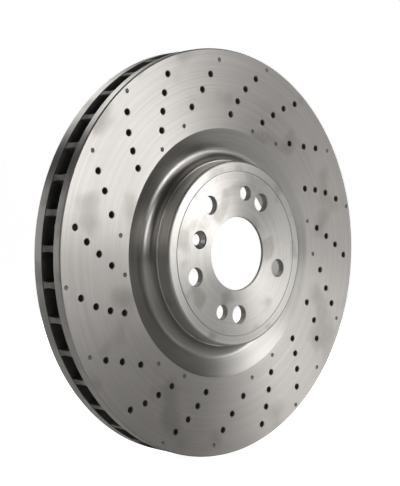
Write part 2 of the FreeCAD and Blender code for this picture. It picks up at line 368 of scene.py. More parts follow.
def flat_face(bm, outer, inner_rings, finish):
    """Flat face between an outer ring and the rings inside it. Its border keeps a crisp shade."""
    vertices, owner, borders = [], [], []
    for number, ring in enumerate([outer] + inner_rings):
        start = len(vertices)
        vertices += ring
        owner += [number] * len(ring)
        borders += [(start + i, start + (i + 1) % len(ring)) for i in range(len(ring))]
    flat = [Vector((v.co.x / MM, v.co.z / MM)) for v in vertices]
    found = delaunay_2d_cdt(flat, borders, [], 1, 1e-6)
    triangles, origin = found[2], found[3]
    for triangle in triangles:
        corners = [origin[index][0] for index in triangle]
        owners = {owner[corner] for corner in corners}
        if len(owners) == 1 and owners != {0}:
            continue
        face = bm.faces.new([vertices[corner] for corner in corners])
        face.material_index = finish
    for start, end in borders:
        edge = bm.edges.get((vertices[start], vertices[end]))
        edge.smooth = False


def bored_plate(bm, outer, inner, bores, finishes, sizes):
    """Plate with a turned outer edge, a turned inner edge and bores. A bore is (radius, angle, section, side)."""
    outer_near, outer_far = turn_edge(bm, outer, sizes.ring_steps)
    inner_near, inner_far = turn_edge(bm, inner, sizes.ring_steps)
    near, far = [inner_near], [inner_far]
    for radius, angle, section, side in bores:
        turn = math.radians(angle)
        centre = (radius * math.cos(turn), radius * math.sin(turn))
        start, end = turn_edge(bm, section, sizes.bore_steps, centre)
        if side == "through":
            near.append(start)
            far.append(end)
        else:
            (near if side == "near" else far).append(start)
    flat_face(bm, outer_near, near, finishes[0])
    flat_face(bm, outer_far, far, finishes[1])


def finished_mesh(name, bm, materials):
    """Mesh with outward faces, smooth curves and crisp corners."""
    bmesh.ops.recalc_face_normals(bm, faces=bm.faces)
    crisp = [not edge.smooth for edge in bm.edges]
    mesh = bpy.data.meshes.new(name)
    bm.to_mesh(mesh)
    bm.free()
    for material in materials:
        mesh.materials.append(material)
    mesh.shade_smooth()
    mesh.set_sharp_from_angle(angle=math.radians(32))
    sharp = mesh.attributes.get("sharp_edge") or mesh.attributes.new("sharp_edge", "BOOLEAN", "EDGE")
    for index, is_crisp in enumerate(crisp):
        if is_crisp:
            sharp.data[index].value = True
    return mesh


def placed(name, mesh, slot, *nodes):
    """Piece in the scene that stands for its CAD nodes and rides with the disc."""
    piece = bpy.data.objects.new(name, mesh)
    bpy.context.scene.collection.objects.link(piece)
    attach(piece, "root")
    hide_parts(*nodes)
    return piece


def drilled_places():
    """Radius and angle of each through hole and of each dimple."""
    holes, dimples = list(GAP_HOLES), list(GAP_DIMPLES)
    for sector in range(SECTOR_COUNT):
        for start, step, angles, blind in ROWS:
            for index, angle in enumerate(angles):
                place = (start + step * index, angle + SECTOR_ANGLE * sector)
                (dimples if index in blind else holes).append(place)
    return holes, dimples


# ---- Shader nodes ----


def add_node(tree, kind, **settings):
    node = tree.nodes.new(kind)
    for key, value in settings.items():
        setattr(node, key, value)
    return node


def feed(tree, socket, value):
    """Links a socket, or sets it when the value is a plain number, colour or vector."""
    if isinstance(value, bpy.types.NodeSocket):
        tree.links.new(value, socket)
    else:
        socket.default_value = value


def calc(tree, operation, *values, clamp=False):
    node = add_node(tree, "ShaderNodeMath", operation=operation, use_clamp=clamp)
    for socket, value in zip(node.inputs, values):
        feed(tree, socket, value)
    return node.outputs[0]


def spread(tree, value, low, high, out_low=0.0, out_high=1.0):
    """Smooth step from out_low to out_high as value goes from low to high."""
    node = add_node(tree, "ShaderNodeMapRange", interpolation_type="SMOOTHSTEP")
    for name, number in (
        ("Value", value),
        ("From Min", low),
        ("From Max", high),
        ("To Min", out_low),
        ("To Max", out_high),
    ):
        feed(tree, node.inputs[name], number)
    return node.outputs["Result"]


def noise(tree, place, scale, detail=3.0, roughness=0.55, distortion=0.0):
    node = add_node(tree, "ShaderNodeTexNoise", noise_dimensions="3D")
    feed(tree, node.inputs["Vector"], place)
    feed(tree, node.inputs["Scale"], scale)
    node.inputs["Detail"].default_value = detail
    node.inputs["Roughness"].default_value = roughness
    node.inputs["Distortion"].default_value = distortion
    return node.outputs["Fac"]


def blended(tree, share, first, second):
    """Mix of two colours."""
    node = add_node(tree, "ShaderNodeMix", data_type="RGBA")
    feed(tree, node.inputs[0], share)
    feed(tree, node.inputs[6], first)
    feed(tree, node.inputs[7], second)
    return node.outputs[2]


def effect_group(name, inputs, outputs):
    """Empty shader node group with named inputs and outputs."""
    group = bpy.data.node_groups.new(name, "ShaderNodeTree")
    for label, kind, default in inputs:
        socket = group.interface.new_socket(label, in_out="INPUT", socket_type=kind)
        if default is not None:
            socket.default_value = default
    for label, kind in outputs:
        group.interface.new_socket(label, in_out="OUTPUT", socket_type=kind)
    return group, add_node(group, "NodeGroupInput"), add_node(group, "NodeGroupOutput")


def turning_marks_group():
    """Concentric tool marks round the disc's axis."""
    group, start, end = effect_group(
        "Turning marks",
        [("Place", "NodeSocketVector", None), ("Pitch", "NodeSocketFloat", 0.0006)],
        [("Marks", "NodeSocketFloat"), ("Bands", "NodeSocketFloat")],
    )
    apart = add_node(group, "ShaderNodeSeparateXYZ")
    feed(group, apart.inputs[0], start.outputs["Place"])
    x, y, z = apart.outputs
    across = calc(group, "ADD", calc(group, "MULTIPLY", x, x), calc(group, "MULTIPLY", z, z))
    radius = calc(group, "SQRT", across)
    travel = calc(group, "ADD", radius, calc(group, "MULTIPLY", y, 1.37))
    joined = add_node(group, "ShaderNodeCombineXYZ")
    feed(group, joined.inputs[0], calc(group, "DIVIDE", travel, start.outputs["Pitch"]))
    feed(group, joined.inputs[1], calc(group, "MULTIPLY", x, 7.0))
    feed(group, joined.inputs[2], calc(group, "MULTIPLY", z, 7.0))
    feed(group, end.inputs["Marks"], noise(group, joined.outputs[0], 1.0, 2.0))
    feed(group, end.inputs["Bands"], noise(group, joined.outputs[0], 0.16, 2.0))
    return group


def cloudy_stains_group():
    """Soft cloudy stains left by handling and damp."""
    group, start, end = effect_group(
        "Cloudy stains",
        [
            ("Place", "NodeSocketVector", None),
            ("Scale", "NodeSocketFloat", 26.0),
            ("Cover", "NodeSocketFloat", 0.5),
        ],
        [("Stain", "NodeSocketFloat"), ("Mottle", "NodeSocketFloat")],
    )
    place, scale = start.outputs["Place"], start.outputs["Scale"]
    cloud = noise(group, place, scale, 1.6, 0.45)
    broken = noise(group, place, calc(group, "MULTIPLY", scale, 7.0), 3.0, 0.6)
    edge = calc(group, "SUBTRACT", 1.0, start.outputs["Cover"])
    low = calc(group, "ADD", calc(group, "MULTIPLY", edge, 0.3), 0.38)
    shape = spread(group, cloud, low, calc(group, "ADD", low, 0.16))
    feed(group, end.inputs["Stain"], calc(group, "MULTIPLY", shape, spread(group, broken, 0.25, 0.6, 0.82, 1.0)))
    feed(group, end.inputs["Mottle"], broken)
    return group


def edge_wear_and_highlight_group():
    """Bright band along convex edges: partly rubbed metal, partly a painted highlight."""
    group, start, end = effect_group(
        "Edge wear and painted highlight",
        [
            ("Place", "NodeSocketVector", None),
            ("Width", "NodeSocketFloat", 0.0004),
            ("Strength", "NodeSocketFloat", 1.0),
        ],
        [("Wear and highlight", "NodeSocketFloat")],
    )
    rounded = add_node(group, "ShaderNodeBevel", samples=4)
    feed(group, rounded.inputs["Radius"], start.outputs["Width"])
    surface = add_node(group, "ShaderNodeNewGeometry")
    facing = add_node(group, "ShaderNodeVectorMath", operation="DOT_PRODUCT")
    feed(group, facing.inputs[0], rounded.outputs[0])
    feed(group, facing.inputs[1], surface.outputs["Normal"])
    # Where the rounded normal turns away from the true one, the edge is lightened: rubbed metal and a painted
    # highlight.
    turned = spread(group, facing.outputs["Value"], 0.975, 0.87)
    patchy = spread(group, noise(group, start.outputs["Place"], 90.0, 3.0), 0.35, 0.6, 0.45, 1.0)
    wear_and_highlight = calc(group, "MULTIPLY", calc(group, "MULTIPLY", turned, patchy), start.outputs["Strength"], clamp=True)
    feed(group, end.inputs["Wear and highlight"], wear_and_highlight)
    return group


def handling_marks_group():
    """Short fine scratches and specks."""
    group, start, end = effect_group(
        "Handling marks",
        [("Place", "NodeSocketVector", None), ("Amount", "NodeSocketFloat", 0.5)],
        [("Scratch", "NodeSocketFloat"), ("Speck", "NodeSocketFloat")],
    )
    place = start.outputs["Place"]
    stretched = add_node(group, "ShaderNodeMapping")
    feed(group, stretched.inputs["Vector"], place)
    stretched.inputs["Rotation"].default_value = (0.0, 0.9, 0.0)
    stretched.inputs["Scale"].default_value = (1100.0, 60.0, 60.0)
    streak = noise(group, stretched.outputs[0], 1.0, 2.0)
    where = spread(group, noise(group, place, 22.0, 2.0), 0.5, 0.64)
    scratch = calc(group, "MULTIPLY", spread(group, streak, 0.66, 0.74), where)
    feed(group, end.inputs["Scratch"], calc(group, "MULTIPLY", scratch, start.outputs["Amount"], clamp=True))
    speck = calc(group, "MULTIPLY", spread(group, noise(group, place, 420.0, 1.0), 0.70, 0.78), where)
    feed(group, end.inputs["Speck"], calc(group, "MULTIPLY", speck, start.outputs["Amount"], clamp=True))
    return group


def cast_grain_group():
    """Sand-cast skin: coarse lumps with fine pits."""
    group, start, end = effect_group(
        "Cast grain",
        [("Place", "NodeSocketVector", None), ("Scale", "NodeSocketFloat", 500.0)],
        [("Height", "NodeSocketFloat"), ("Shade", "NodeSocketFloat")],
    )
    place, scale = start.outputs["Place"], start.outputs["Scale"]
    lumps = noise(group, place, scale, 4.0, 0.65)
    pits = add_node(group, "ShaderNodeTexVoronoi", feature="F1")
    feed(group, pits.inputs["Vector"], place)
    feed(group, pits.inputs["Scale"], calc(group, "MULTIPLY", scale, 1.7))
    dent = spread(group, pits.outputs["Distance"], 0.0, 0.35)
    feed(group, end.inputs["Height"], calc(group, "ADD", calc(group, "MULTIPLY", lumps, 0.7), calc(group, "MULTIPLY", dent, 0.3)))
    feed(group, end.inputs["Shade"], noise(group, place, calc(group, "MULTIPLY", scale, 0.12), 3.0))
    return group


EFFECTS = {
    "Turning marks": turning_marks_group,
    "Cloudy stains": cloudy_stains_group,
    "Edge wear and painted highlight": edge_wear_and_highlight_group,
    "Handling marks": handling_marks_group,
    "Cast grain": cast_grain_group,
}


def effect(tree, name, place, **values):
    """Places one of the shared effects in a material, with its own values."""
    group = bpy.data.node_groups.get(name) or EFFECTS[name]()
    node = add_node(tree, "ShaderNodeGroup")
    node.node_tree = group
    feed(tree, node.inputs["Place"], place)
    for label, value in values.items():
        node.inputs[label].default_value = value
    return node


def blank_material(name):
    material = bpy.data.materials.new(name)
    material.use_nodes = True
    tree = material.node_tree
    place = add_node(tree, "ShaderNodeTexCoord").outputs["Object"]
    return material, tree, tree.nodes["Principled BSDF"], place


def tinted(colour, factor):
    return tuple(min(1.0, part * factor) for part in colour) + (1.0,)


def machined_iron(name, colour, roughness, anisotropy, pitch, depth, stain_scale, stain_cover, marks=0.4, mottling=0.04, rub_and_highlight_gain=0.8):
    """Iron cut on a lathe: fine rings round the axis, cloudy stains, rubbed edges that also carry a painted highlight,
    and small scratches.
    """
    known = bpy.data.materials.get(name)
    if known:
        return known
    finish = bpy.context.scene.brake_disc_finish
    material, tree, metal, place = blank_material(name)
    turning = effect(tree, "Turning marks", place, Pitch=pitch)
    clouds = effect(tree, "Cloudy stains", place, Scale=stain_scale, Cover=stain_cover)
    wear_and_highlight = effect(tree, "Edge wear and painted highlight", place, Width=0.0005, Strength=rub_and_highlight_gain)
    handled = effect(tree, "Handling marks", place, Amount=marks)
    tone = spread(tree, turning.outputs["Marks"], 0.25, 0.75)
    body = blended(tree, tone, tinted(colour, 0.90), tinted(colour, 1.08))
    banded = blended(tree, spread(tree, turning.outputs["Bands"], 0.3, 0.7, 0.0, 0.5), body, tinted(colour, 0.92))
    stained = blended(
        tree,
        calc(tree, "MULTIPLY", clouds.outputs["Stain"], finish.stain_amount),
        banded,
        tuple(finish.stain_colour) + (1.0,),
    )
    scratched = blended(tree, handled.outputs["Scratch"], stained, tinted(colour, 1.35))
    specked = blended(tree, handled.outputs["Speck"], scratched, tinted(colour, 0.55))
    # Convex edges lightened: rubbed metal, and a painted highlight along each edge.
    rubbed_and_highlit = blended(tree, wear_and_highlight.outputs["Wear and highlight"], specked, tinted(colour, 1.4))
    feed(tree, metal.inputs["Base Color"], rubbed_and_highlit)
    metal.inputs["Metallic"].default_value = 1.0
    grain = calc(tree, "MULTIPLY", calc(tree, "SUBTRACT", turning.outputs["Marks"], 0.5), mottling)
    damp = calc(tree, "MULTIPLY", clouds.outputs["Stain"], mottling)
    mottle = calc(tree, "MULTIPLY", calc(tree, "SUBTRACT", clouds.outputs["Mottle"], 0.5), mottling)
    rough = calc(tree, "ADD", calc(tree, "ADD", grain, damp), calc(tree, "ADD", mottle, roughness), clamp=True)
    feed(tree, metal.inputs["Roughness"], rough)
    metal.inputs["Anisotropic"].default_value = anisotropy
    metal.inputs["Anisotropic Rotation"].default_value = 0.25
    around = add_node(tree, "ShaderNodeTangent", direction_type="RADIAL", axis="Y")
    feed(tree, metal.inputs["Tangent"], around.outputs[0])
    bump = add_node(tree, "ShaderNodeBump")
    bump.inputs["Strength"].default_value = 0.25
    bump.inputs["Distance"].default_value = depth
    feed(tree, bump.inputs["Height"], turning.outputs["Marks"])
    feed(tree, metal.inputs["Normal"], bump.outputs[0])
    return material


def ground_iron():
    finish = bpy.context.scene.brake_disc_finish
    return machined_iron("Ground iron", finish.ground_colour, finish.ground_roughness, 0.90, 1.1 * MM, 0.010 * MM, 24.0, 0.45)


def turned_rim_iron():
    finish = bpy.context.scene.brake_disc_finish
    return machined_iron("Turned rim iron", tuple(c * 0.6 for c in finish.turned_colour), 0.42, 0.55, 0.8 * MM, 0.02 * MM, 40.0, 0.5)


def turned_hat_iron():
    finish = bpy.context.scene.brake_disc_finish
    return machined_iron("Turned hat iron", finish.turned_colour, finish.turned_roughness, 0.75, 0.9 * MM, 0.010 * MM, 38.0, 0.55, marks=0.8)


def turned_band_iron():
    finish = bpy.context.scene.brake_disc_finish
    return machined_iron("Turned band iron", tuple(c * 0.94 for c in finish.turned_colour), finish.turned_roughness, 0.72, 0.7 * MM, 0.012 * MM, 45.0, 0.4)


def groove_iron():
    finish = bpy.context.scene.brake_disc_finish
    return machined_iron("Groove iron", finish.groove_colour, finish.groove_roughness, 0.60, 1.3 * MM, 0.002 * MM, 30.0, 0.0, marks=0.0, mottling=0.01, rub_and_highlight_gain=0.0)


def drilled_iron():
    """Walls of the holes: drilled iron, dull and darker than the faces."""
    known = bpy.data.materials.get("Drilled iron")
    if known:
        return known
    colour = bpy.context.scene.brake_disc_finish.drilled_colour
    material, tree, metal, place = blank_material("Drilled iron")
    grain = effect(tree, "Cast grain", place, Scale=900.0)
    wear_and_highlight = effect(tree, "Edge wear and painted highlight", place, Width=0.0003, Strength=0.9)
    shade = blended(tree, spread(tree, grain.outputs["Shade"], 0.3, 0.7), tinted(colour, 0.8), tinted(colour, 1.2))
    # Hole edges lightened strongly: rubbed metal, and a painted glint.
    feed(tree, metal.inputs["Base Color"], blended(tree, wear_and_highlight.outputs["Wear and highlight"], shade, tinted(colour, 2.6)))
    metal.inputs["Metallic"].default_value = 1.0
    feed(tree, metal.inputs["Roughness"], spread(tree, grain.outputs["Height"], 0.2, 0.8, 0.42, 0.62))
    bump = add_node(tree, "ShaderNodeBump")
    bump.inputs["Strength"].default_value = 0.3
    bump.inputs["Distance"].default_value = 0.03 * MM
    feed(tree, bump.inputs["Height"], grain.outputs["Height"])
    feed(tree, metal.inputs["Normal"], bump.outputs[0])
    return material


def rough_iron(name, colour, metallic, rub_and_highlight_gain):
    """Rough cast skin: lumps and pits, with rubbed edges that also carry a painted highlight."""
    known = bpy.data.materials.get(name)
    if known:
        return known
    material, tree, metal, place = blank_material(name)
    grain = effect(tree, "Cast grain", place, Scale=520.0)
    wear_and_highlight = effect(tree, "Edge wear and painted highlight", place, Width=0.0008, Strength=0.7)
    shade = blended(tree, spread(tree, grain.outputs["Shade"], 0.3, 0.7), tinted(colour, 0.7), tinted(colour, 1.35))
    # Cast edges lightened: rubbed metal, and a painted highlight.
    feed(tree, metal.inputs["Base Color"], blended(tree, wear_and_highlight.outputs["Wear and highlight"], shade, tinted(colour, rub_and_highlight_gain)))
    metal.inputs["Metallic"].default_value = metallic
    feed(tree, metal.inputs["Roughness"], spread(tree, grain.outputs["Height"], 0.2, 0.8, 0.55, 0.82))
    bump = add_node(tree, "ShaderNodeBump")
    bump.inputs["Strength"].default_value = 0.6
    bump.inputs["Distance"].default_value = 0.25 * MM
    feed(tree, bump.inputs["Height"], grain.outputs["Height"])
    feed(tree, metal.inputs["Normal"], bump.outputs[0])
    return material


# Cast skin of the vanes and the vent, made near black: partly its own tone, partly painted shade inside the vent.
def cast_iron_with_vent_shade():
    return rough_iron("Cast iron darkened as vent shade", bpy.context.scene.brake_disc_finish.cast_and_vent_shade_colour, 0.2, 2.0)


# Lighter copy of the vanes' cast iron: painted light on the tips.
def vane_tip_iron_painted_lit():
    return rough_iron("Vane tip iron painted lit", bpy.context.scene.brake_disc_finish.painted_lit_tip_colour, 0.6, 1.4)


def studio_paper():
    """Seamless pale paper for the floor and backdrop."""
    colour = bpy.context.scene.brake_disc_finish.floor_colour
    material, tree, paper, place = blank_material("Studio paper")
    fibre = noise(tree, place, 900.0, 3.0)
    feed(tree, paper.inputs["Base Color"], blended(tree, fibre, tinted(colour, 0.985), tinted(colour, 1.0)))
    feed(tree, paper.inputs["Roughness"], spread(tree, fibre, 0.3, 0.7, 0.78, 0.88))
    paper.inputs["Specular IOR Level"].default_value = 0.2
    # The paper looks evenly lit, as it would with lamps of its own that don't reach the disc.
    rays = add_node(tree, "ShaderNodeLightPath")
    paper.inputs["Emission Color"].default_value = (1.0, 1.0, 1.0, 1.0)
    glow = bpy.context.scene.brake_disc_stage.paper_light
    feed(tree, paper.inputs["Emission Strength"], calc(tree, "MULTIPLY", rays.outputs["Is Camera Ray"], glow))
    return material


# ---- Operators ----


class BRAKEDISC_OT_outboard_ring(bpy.types.Operator):
    """Build the drilled outboard friction ring"""

    bl_idname = "brake_disc.outboard_ring"
    bl_label = "Outboard friction ring"

    def execute(self, context):
        s = context.scene.brake_disc_sizes
        ground, rim, cast, drilled = 0, 1, 2, 3
        inner = s.outboard_inner_radius
        outer_edge = softened(
            [
                (OUTER_RADIUS - s.rim_chamfer, OUTBOARD_FACE, 0, rim),
                (OUTER_RADIUS, OUTBOARD_FACE + s.rim_chamfer, 3 * s.soft_edge, rim),
                (OUTER_RADIUS, VENT_START - s.vent_chamfer, s.soft_edge, cast),
                (OUTER_RADIUS - s.vent_chamfer, VENT_START, 0, cast),
            ],
            closed=False,
        )
        inner_edge = softened([(inner, OUTBOARD_FACE, 0, rim), (inner, VENT_START, 0, cast)], closed=False)
        wide = s.drill_radius + s.drill_chamfer
        hole = softened(
            [
                (wide, OUTBOARD_FACE, 0, rim),
                (s.drill_radius, OUTBOARD_FACE + s.drill_chamfer, s.soft_edge, drilled),
                (s.drill_radius, VENT_START, 0, drilled),
            ],
            closed=False,
        )
        dimple = softened(
            [
                (s.dimple_radius, OUTBOARD_FACE, 0, drilled),
                (s.dimple_radius, OUTBOARD_FACE + s.dimple_wall, 0, drilled),
                (0, OUTBOARD_FACE + s.dimple_depth, 0, drilled),
            ],
            closed=False,
        )
        holes, dimples = drilled_places()
        bores = [(r, a, hole, "through") for r, a in holes] + [(r, a, dimple, "near") for r, a in dimples]
        bm = bmesh.new()
        bored_plate(bm, outer_edge, inner_edge, bores, (ground, cast), s)
        finishes = [ground_iron(), turned_rim_iron(), cast_iron_with_vent_shade(), drilled_iron()]
        mesh = finished_mesh("outboard_ring", bm, finishes)
        placed("outboard_ring", mesh, "ground_friction_face", "outboard_friction_ring")
        return {"FINISHED"}


class BRAKEDISC_OT_inboard_ring(bpy.types.Operator):
    """Build the drilled inboard friction ring"""

    bl_idname = "brake_disc.inboard_ring"
    bl_label = "Inboard friction ring"

    def execute(self, context):
        s = context.scene.brake_disc_sizes
        ground, rim, cast, drilled = 0, 1, 2, 3
        inner = s.inboard_inner_radius
        outer_edge = softened(
            [
                (OUTER_RADIUS - s.vent_chamfer, VENT_END, 0, cast),
                (OUTER_RADIUS, VENT_END + s.vent_chamfer, s.soft_edge, rim),
                (OUTER_RADIUS, INBOARD_FACE - s.rim_chamfer, 3 * s.soft_edge, rim),
                (OUTER_RADIUS - s.rim_chamfer, INBOARD_FACE, 0, rim),
            ],
            closed=False,
        )
        inner_edge = softened(
            [
                (inner + s.inlet_radius + MM, VENT_END, 0, cast),
                (inner, VENT_END, s.inlet_radius, cast),
                (inner, INBOARD_FACE - s.rim_chamfer, s.soft_edge, rim),
                (inner + s.rim_chamfer, INBOARD_FACE, 0, rim),
            ],
            closed=False,
        )
        wide = s.drill_radius + s.drill_chamfer
        hole = softened(
            [
                (s.drill_radius, VENT_END, 0, drilled),
                (s.drill_radius, INBOARD_FACE - s.drill_chamfer, s.soft_edge, rim),
                (wide, INBOARD_FACE, 0, rim),
            ],
            closed=False,
        )
        dimple = softened(
            [
                (s.dimple_radius, INBOARD_FACE, 0, drilled),
                (s.dimple_radius, INBOARD_FACE - s.dimple_wall, 0, drilled),
                (0, INBOARD_FACE - s.dimple_depth, 0, drilled),
            ],
            closed=False,
        )
        holes, dimples = drilled_places()
        bores = [(r, a, hole, "through") for r, a in holes] + [(r, a, dimple, "far") for r, a in dimples]
        bm = bmesh.new()
        bored_plate(bm, outer_edge, inner_edge, bores, (cast, ground), s)
        finishes = [ground_iron(), turned_rim_iron(), cast_iron_with_vent_shade(), drilled_iron()]
        mesh = finished_mesh("inboard_ring", bm, finishes)
        placed("inboard_ring", mesh, "ground_friction_face", "inboard_friction_ring")
        return {"FINISHED"}


class BRAKEDISC_OT_neck(bpy.types.Operator):
    """Build the neck ring with its relief groove"""

    bl_idname = "brake_disc.neck"
    bl_label = "Neck and relief groove"

    def execute(self, context):
        s = context.scene.brake_disc_sizes
        groove, cast, band = 0, 1, 2
        inside = HAT_RADIUS - s.hat_wall
        wall = HAT_RADIUS + s.ledge_width
        face_edge = s.outboard_inner_radius
        centre_radius = wall + s.groove_radius
        centre_y = OUTBOARD_FACE + s.groove_depth - s.groove_radius
        # The bevel leaves the edge of the friction face and touches the groove's round floor.
        across, along = face_edge - centre_radius, OUTBOARD_FACE - centre_y
        bevel = math.asin(s.groove_radius / math.hypot(across, along)) - math.atan2(along, across)
        corner_y = OUTBOARD_FACE + math.tan(bevel) * (face_edge - wall)
        section = softened(
            [
                (face_edge, OUTBOARD_FACE, 0, groove),
                (wall, corner_y, s.groove_radius, groove),
                (wall, LEDGE_PLANE, 2 * s.soft_edge, band),
                (inside, LEDGE_PLANE, 0, band),
                (inside, NECK_INBOARD - s.neck_chamfer, 4 * s.soft_edge, cast),
                (inside + s.neck_chamfer, NECK_INBOARD, 4 * s.soft_edge, cast),
                (s.neck_slope_start, NECK_INBOARD, 20 * s.soft_edge, cast),
                (face_edge, VENT_START, 0, cast),
            ]
        )
        bm = bmesh.new()
        turn_section(bm, section, s.ring_steps)
        mesh = finished_mesh("neck", bm, [groove_iron(), cast_iron_with_vent_shade(), turned_band_iron()])
        placed("neck", mesh, "turned_groove", "hat_neck")
        return {"FINISHED"}


class BRAKEDISC_OT_hat_drum(bpy.types.Operator):
    """Build the hat's short drum with the fine line in its face"""

    bl_idname = "brake_disc.hat_drum"
    bl_label = "Hat drum"

    def execute(self, context):
        s = context.scene.brake_disc_sizes
        band, groove, wall = 0, 1, 2
        inside = HAT_RADIUS - s.hat_wall
        joint = inside - s.hat_corner_radius
        floor = WHEEL_PLANE + s.line_depth
        section = softened(
            [
                (inside, HUB_PLANE, s.hat_corner_radius, wall),
                (joint, HUB_PLANE, 0, groove),
                (joint, floor, 0, groove),
                (joint + s.line_width, floor, 0, groove),
                (joint + s.line_width, WHEEL_PLANE, s.soft_edge, band),
                (HAT_RADIUS, WHEEL_PLANE, s.hat_edge_radius, wall),
                (HAT_RADIUS, LEDGE_PLANE, 0, wall),
                (inside, LEDGE_PLANE, 0, band),
            ]
        )
        bm = bmesh.new()
        turn_section(bm, section, s.ring_steps)
        mesh = finished_mesh("hat_drum", bm, [turned_band_iron(), groove_iron(), turned_rim_iron()])
        placed("hat_drum", mesh, "turned_hat_face", "hat_wall")
        return {"FINISHED"}


class BRAKEDISC_OT_flange(bpy.types.Operator):
    """Build the mounting flange with its bore, bolt holes and screw seat"""

    bl_idname = "brake_disc.flange"
    bl_label = "Mounting flange"

    def execute(self, context):
        s = context.scene.brake_disc_sizes
        hat, edge, drilled = 0, 1, 2
        joint = HAT_RADIUS - s.hat_wall - s.hat_corner_radius
        land = WHEEL_PLANE + s.bore_chamfer
        outer_edge = softened([(joint, WHEEL_PLANE, 0, edge), (joint, HUB_PLANE, 0, edge)], closed=False)
        inner_edge = softened(
            [
                (s.bore_radius + s.bore_chamfer, WHEEL_PLANE, 0, edge),
                (s.bore_radius, land, s.soft_edge, drilled),
                (s.bore_radius, land + s.bore_land, s.soft_edge, drilled),
                (s.bore_radius + s.bore_lead_in, HUB_PLANE, 0, drilled),
            ],
            closed=False,
        )

        def plain_hole(radius):
            return softened(
                [
                    (radius + s.bore_chamfer, WHEEL_PLANE, 0, edge),
                    (radius, WHEEL_PLANE + s.bore_chamfer, s.soft_edge, drilled),
                    (radius, HUB_PLANE, 0, drilled),
                ],
                closed=False,
            )

        screw = softened(
            [
                (s.screw_head_radius, WHEEL_PLANE, 0, drilled),
                (s.screw_head_radius, WHEEL_PLANE + s.screw_head_depth, s.soft_edge, edge),
                (s.screw_radius, HUB_PLANE - s.screw_land, s.soft_edge, drilled),
                (s.screw_radius, HUB_PLANE, 0, drilled),
            ],
            closed=False,
        )
        bores = []
        for index in range(5):
            bores.append((s.bolt_circle, s.first_bolt_angle + 72.0 * index, plain_hole(s.bolt_radius), "through"))
        for side in (-1, 1):
            bores.append((s.bolt_circle, s.first_bolt_angle + 95.0 * side, plain_hole(s.relief_radius), "through"))
        bores.append((s.screw_circle, s.first_bolt_angle + 180.0, screw, "through"))
        bm = bmesh.new()
        bored_plate(bm, outer_edge, inner_edge, bores, (hat, hat), s)
        mesh = finished_mesh("flange", bm, [turned_hat_iron(), turned_rim_iron(), drilled_iron()])
        placed("flange", mesh, "turned_hat_face", "mounting_flange")
        return {"FINISHED"}


def vane_stations(s):
    """Places along a vane with the widest half-width that its round nose and soft tip allow."""
    nose = s.vane_flare / 2
    start, tip, soft = s.vane_inner_radius, s.vane_tip_radius, s.vane_soft_tip
    stations = []
    for step in range(1, 9):
        turn = math.radians(90.0 * step / 8)
        stations.append((start + nose * (1 - math.cos(turn)), nose * math.sin(turn), 0.0))
    for share in (0.15, 0.3, 0.45, 0.6, 0.75, 0.88, 0.95):
        stations.append((start + nose + (tip - soft - start - nose) * share, nose, 0.0))
    for step in range(0, 6):
        turn = math.radians(90.0 * step / 5)
        stations.append((tip - soft + soft * math.sin(turn), nose, soft * (1 - math.cos(turn))))
    return stations


def vane_bmesh(s, angle):
    """Waisted vane at an angle: narrow at mid-vent, flared where it meets the plates."""
    rows = 13
    middle, half = (VENT_START + VENT_END) / 2, (VENT_END - VENT_START) / 2
    drop = (s.vane_flare - s.vane_waist) / 2
    sag_radius = (half * half + drop * drop) / (2 * drop)
    turn = math.radians(angle)
    bm = bmesh.new()
    loops = []
    for along, limit, shrink in vane_stations(s):
        sides = []
        for row in range(rows):
            up = -half + 2 * half * row / (rows - 1)
            bulge = sag_radius - math.sqrt(sag_radius * sag_radius - up * up)
            width = min(s.vane_waist / 2 + bulge, limit) - shrink
            sides.append((middle + up, max(width, 0.15 * MM)))
        loop = [(y, -w) for y, w in sides] + [(y, w) for y, w in reversed(sides)]
        ring = []
        for y, across in loop:
            reach = min(along, math.sqrt(s.vane_tip_radius**2 - across * across))
            x = reach * math.cos(turn) - across * math.sin(turn)
            z = reach * math.sin(turn) + across * math.cos(turn)
            ring.append(bm.verts.new((x, y, z)))
        loops.append(ring)
    # The last bands and the end cap take the lighter tip iron: painted light on the tips.
    tip_bands = len(loops) - 4
    for number, (first, second) in enumerate(zip(loops, loops[1:])):
        skin(bm, first, second, 1 if number >= tip_bands else 0)
    for ring, finish in ((loops[0], 0), (loops[-1], 1)):
        for row in range(rows - 1):
            other = 2 * rows - 1 - row
            face = bm.faces.new((ring[row], ring[row + 1], ring[other - 1], ring[other]))
            face.material_index = finish
    bmesh.ops.recalc_face_normals(bm, faces=bm.faces)
    return bm


def drilled_through(mesh, places, s):
    """Copy of a mesh with the drilled holes cut through it."""
    bm = bmesh.new()
    for radius, angle in places:
        turn = math.radians(angle)
        centre = (radius * math.cos(turn), radius * math.sin(turn))
        ends = [circle(bm, s.drill_radius, y, s.bore_steps, centre) for y in (VENT_START - MM, VENT_END + MM)]
        skin(bm, ends[0], ends[1], 0)
        bm.faces.new(ends[0])
        bm.faces.new(ends[1])
    bmesh.ops.recalc_face_normals(bm, faces=bm.faces)
    tool_mesh = bpy.data.meshes.new("drill")
    bm.to_mesh(tool_mesh)
    bm.free()
    tool = bpy.data.objects.new("drill", tool_mesh)
    blank = bpy.data.objects.new("vane_blank", mesh)
    for thing in (tool, blank):
        bpy.context.scene.collection.objects.link(thing)
    cut = blank.modifiers.new("drilled", "BOOLEAN")
    cut.operation, cut.solver, cut.object = "DIFFERENCE", "EXACT", tool
    bpy.context.view_layer.update()
    graph = bpy.context.evaluated_depsgraph_get()
    result = bpy.data.meshes.new_from_object(blank.evaluated_get(graph))
    bpy.data.objects.remove(blank)
    bpy.data.objects.remove(tool)
    return result


